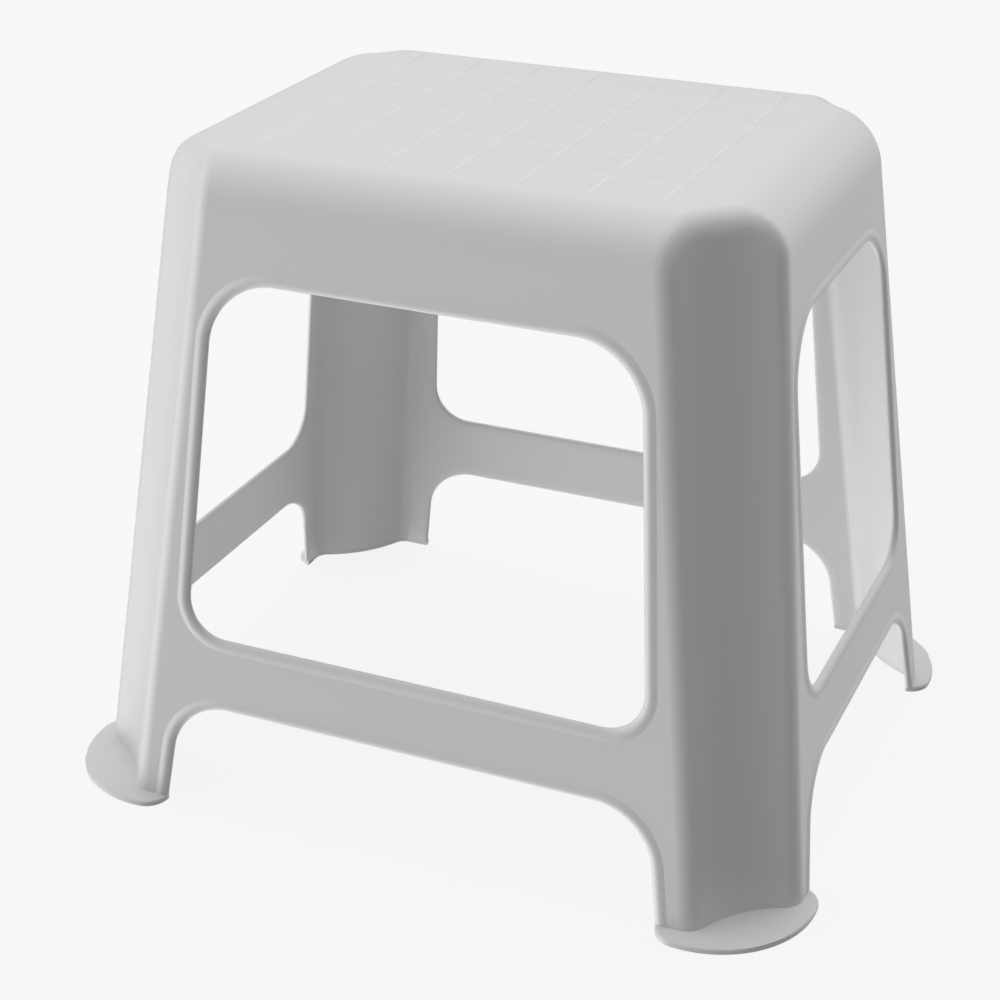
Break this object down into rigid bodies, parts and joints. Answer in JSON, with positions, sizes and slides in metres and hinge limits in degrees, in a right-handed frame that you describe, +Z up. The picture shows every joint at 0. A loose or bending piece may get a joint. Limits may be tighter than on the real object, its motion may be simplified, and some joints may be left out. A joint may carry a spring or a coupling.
{
  "type": "stacking stool",
  "caption": "Low moulded stool with a rounded rectangular seat, flared hollow legs with fluted corners, stretchers round all sides and a flat plate under each foot.",
  "frame": {"origin": "middle of the footprint, on the floor", "axes": "+Z up, +X to the right along the long side, +Y to the back along the short side"},
  "size_m": [0.3602, 0.3034, 0.3002],
  "materials": {
    "moulding": "satin"
  },
  "bodies": {
    "root": {"seat_panel": "moulding", "seat_grip_lines": "moulding", "underseat_ribs": "moulding", "apron_front": "moulding", "stretcher_front": "moulding", "rim_opening_front": "moulding", "rim_arch_front": "moulding", "apron_rear": "moulding", "stretcher_rear": "moulding", "rim_opening_rear": "moulding", "rim_arch_rear": "moulding", "apron_left": "moulding", "stretcher_left": "moulding", "rim_opening_left": "moulding", "rim_arch_left": "moulding", "apron_right": "moulding", "stretcher_right": "moulding", "rim_opening_right": "moulding", "rim_arch_right": "moulding", "leg_front_left": "moulding", "foot_plate_front_left": "moulding", "leg_front_right": "moulding", "foot_plate_front_right": "moulding", "leg_rear_left": "moulding", "foot_plate_rear_left": "moulding", "leg_rear_right": "moulding", "foot_plate_rear_right": "moulding"}
  },
  "joints": []
}
